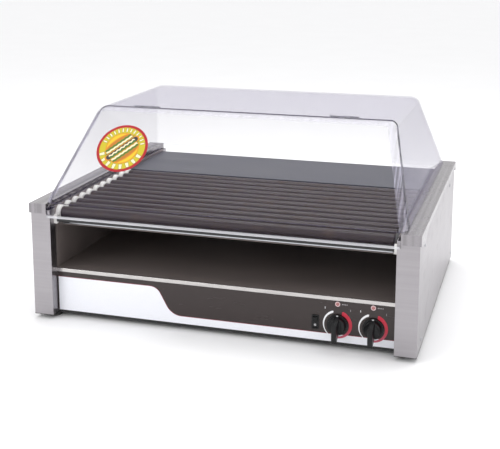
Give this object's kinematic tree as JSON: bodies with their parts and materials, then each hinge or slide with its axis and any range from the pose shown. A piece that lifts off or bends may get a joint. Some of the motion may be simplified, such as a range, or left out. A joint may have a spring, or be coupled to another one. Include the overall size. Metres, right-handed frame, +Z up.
{
  "type": "hot dog roller grill",
  "caption": "Countertop hot dog roller grill: chain-driven heated rollers over an open bun bay, heat knobs on a front panel, and a clear canopy with a flip-up front.",
  "frame": {"origin": "on the floor, at the middle of the footprint", "axes": "+X to the right seen from the front, along the rollers; +Y to the rear; +Z up"},
  "size_m": [0.896, 0.735, 0.4814],
  "materials": {
    "stainless": "brushed satin, grain along each panel",
    "trim_polished": "polished",
    "dark_steel": "dark brushed, low gloss",
    "deck_grey": "dark grey, satin",
    "rail_black": "black, satin",
    "roller_coat": "dark hard coat, satin",
    "zinc_steel": "zinc plated sheet",
    "panel_gloss": "dark brown-black printed overlay, gloss",
    "white_nylon": "natural white nylon",
    "knob_black": "black moulded, soft gloss",
    "switch_black": "black moulded",
    "lamp_lens": "clear red lens",
    "chain_steel": "oiled steel",
    "heater_sheath": "heat-tinted steel sheath",
    "ceramic_board": "mica board",
    "motor_paint": "black enamel",
    "control_case": "phenolic case",
    "clear_acrylic": "clear formed acrylic",
    "decal_print": "printed vinyl",
    "foot_rubber": "matt black"
  },
  "bodies": {
    "chassis": {"base_pan": "dark_steel", "feet": "foot_rubber", "left_side_panel": "stainless", "right_side_panel": "stainless", "left_rail_cap": "stainless", "right_rail_cap": "stainless", "left_bearing_plate": "dark_steel", "right_bearing_plate": "dark_steel", "side_screws": "zinc_steel", "rear_panel": "stainless", "cord_gland": "switch_black", "bay_floor": "dark_steel", "heat_shield": "dark_steel", "rear_deck": "deck_grey", "front_rail": "rail_black", "rail_end_blocks": "white_nylon", "roller_bushings": "white_nylon", "heater_rods": "heater_sheath", "terminal_strips": "ceramic_board", "drive_chain": "chain_steel", "gear_motor": "motor_paint", "motor_bracket": "zinc_steel", "chain_tensioner": "white_nylon", "tray_runners": "zinc_steel", "control_panel": "panel_gloss", "panel_trim": "trim_polished", "heat_controls": "control_case", "indicator_lamps": "lamp_lens", "rocker_housing": "switch_black"},
    "drip_tray": {"drip_tray": "zinc_steel"},
    "drive": {"drive_sprocket": "chain_steel"},
    "left_heat_knob": {"left_heat_knob": "knob_black"},
    "right_heat_knob": {"right_heat_knob": "knob_black"},
    "power_rocker": {"power_rocker": "switch_black"},
    "canopy": {"canopy_shell": "clear_acrylic", "canopy_hinge_pins": "clear_acrylic"},
    "canopy_door": {"canopy_door": "clear_acrylic", "canopy_decal": "decal_print"},
    "roller_01": {"roller_01": "roller_coat", "roller_sprocket_01": "chain_steel"},
    "roller_02": {"roller_02": "roller_coat", "roller_sprocket_02": "chain_steel"},
    "roller_03": {"roller_03": "roller_coat", "roller_sprocket_03": "chain_steel"},
    "roller_04": {"roller_04": "roller_coat", "roller_sprocket_04": "chain_steel"},
    "roller_05": {"roller_05": "roller_coat", "roller_sprocket_05": "chain_steel"},
    "roller_06": {"roller_06": "roller_coat", "roller_sprocket_06": "chain_steel"},
    "roller_07": {"roller_07": "roller_coat", "roller_sprocket_07": "chain_steel"},
    "roller_08": {"roller_08": "roller_coat", "roller_sprocket_08": "chain_steel"},
    "roller_09": {"roller_09": "roller_coat", "roller_sprocket_09": "chain_steel"},
    "roller_10": {"roller_10": "roller_coat", "roller_sprocket_10": "chain_steel"},
    "roller_11": {"roller_11": "roller_coat", "roller_sprocket_11": "chain_steel"}
  },
  "joints": [
    {"name": "roller_01_spin", "type": "hinge", "parent": "chassis", "child": "roller_01", "pos_m": [0, -0.3115, 0.248], "axis": [1, 0, 0], "continuous": true},
    {"name": "roller_02_spin", "type": "hinge", "parent": "chassis", "child": "roller_02", "pos_m": [0, -0.2732, 0.248], "axis": [1, 0, 0], "continuous": true},
    {"name": "roller_03_spin", "type": "hinge", "parent": "chassis", "child": "roller_03", "pos_m": [0, -0.2349, 0.248], "axis": [1, 0, 0], "continuous": true},
    {"name": "roller_04_spin", "type": "hinge", "parent": "chassis", "child": "roller_04", "pos_m": [0, -0.1966, 0.248], "axis": [1, 0, 0], "continuous": true},
    {"name": "roller_05_spin", "type": "hinge", "parent": "chassis", "child": "roller_05", "pos_m": [0, -0.1583, 0.248], "axis": [1, 0, 0], "continuous": true},
    {"name": "roller_06_spin", "type": "hinge", "parent": "chassis", "child": "roller_06", "pos_m": [0, -0.12, 0.248], "axis": [1, 0, 0], "continuous": true},
    {"name": "roller_07_spin", "type": "hinge", "parent": "chassis", "child": "roller_07", "pos_m": [0, -0.0817, 0.248], "axis": [1, 0, 0], "continuous": true},
    {"name": "roller_08_spin", "type": "hinge", "parent": "chassis", "child": "roller_08", "pos_m": [0, -0.0434, 0.248], "axis": [1, 0, 0], "continuous": true},
    {"name": "roller_09_spin", "type": "hinge", "parent": "chassis", "child": "roller_09", "pos_m": [0, -0.0051, 0.248], "axis": [1, 0, 0], "continuous": true},
    {"name": "roller_10_spin", "type": "hinge", "parent": "chassis", "child": "roller_10", "pos_m": [0, 0.0332, 0.248], "axis": [1, 0, 0], "continuous": true},
    {"name": "roller_11_spin", "type": "hinge", "parent": "chassis", "child": "roller_11", "pos_m": [0, 0.0715, 0.248], "axis": [1, 0, 0], "continuous": true},
    {"name": "drive_spin", "type": "hinge", "parent": "chassis", "child": "drive", "pos_m": [0, -0.0575, 0.066], "axis": [1, 0, 0], "continuous": true},
    {"name": "left_heat_turn", "type": "hinge", "parent": "chassis", "child": "left_heat_knob", "pos_m": [0.2704, -0.3315, 0.0563], "axis": [0, 1, 0], "range_deg": [0, 270]},
    {"name": "right_heat_turn", "type": "hinge", "parent": "chassis", "child": "right_heat_knob", "pos_m": [0.3478, -0.3315, 0.0563], "axis": [0, 1, 0], "range_deg": [0, 270]},
    {"name": "power_rock", "type": "hinge", "parent": "chassis", "child": "power_rocker", "pos_m": [0.2216, -0.3285, 0.0573], "axis": [-1, 0, 0], "range_deg": [0, 14]},
    {"name": "tray_slide", "type": "slide", "parent": "chassis", "child": "drip_tray", "axis": [0, -1, 0], "range_m": [0, 0.34]},
    {"name": "canopy_lift", "type": "slide", "parent": "chassis", "child": "canopy", "axis": [0, 0, 1], "range_m": [0, 0.25]},
    {"name": "door_swing", "type": "hinge", "parent": "canopy", "child": "canopy_door", "pos_m": [0, -0.14926, 0.4782], "axis": [-1, 0, 0], "range_deg": [0, 145]}
  ],
  "couplings": [
    {"joint": "roller_02_spin", "follows": "roller_01_spin", "ratio": 1},
    {"joint": "roller_03_spin", "follows": "roller_01_spin", "ratio": 1},
    {"joint": "roller_04_spin", "follows": "roller_01_spin", "ratio": 1},
    {"joint": "roller_05_spin", "follows": "roller_01_spin", "ratio": 1},
    {"joint": "roller_06_spin", "follows": "roller_01_spin", "ratio": 1},
    {"joint": "roller_07_spin", "follows": "roller_01_spin", "ratio": 1},
    {"joint": "roller_08_spin", "follows": "roller_01_spin", "ratio": 1},
    {"joint": "roller_09_spin", "follows": "roller_01_spin", "ratio": 1},
    {"joint": "roller_10_spin", "follows": "roller_01_spin", "ratio": 1},
    {"joint": "roller_11_spin", "follows": "roller_01_spin", "ratio": 1},
    {"joint": "drive_spin", "follows": "roller_01_spin", "ratio": 0.7}
  ]
}
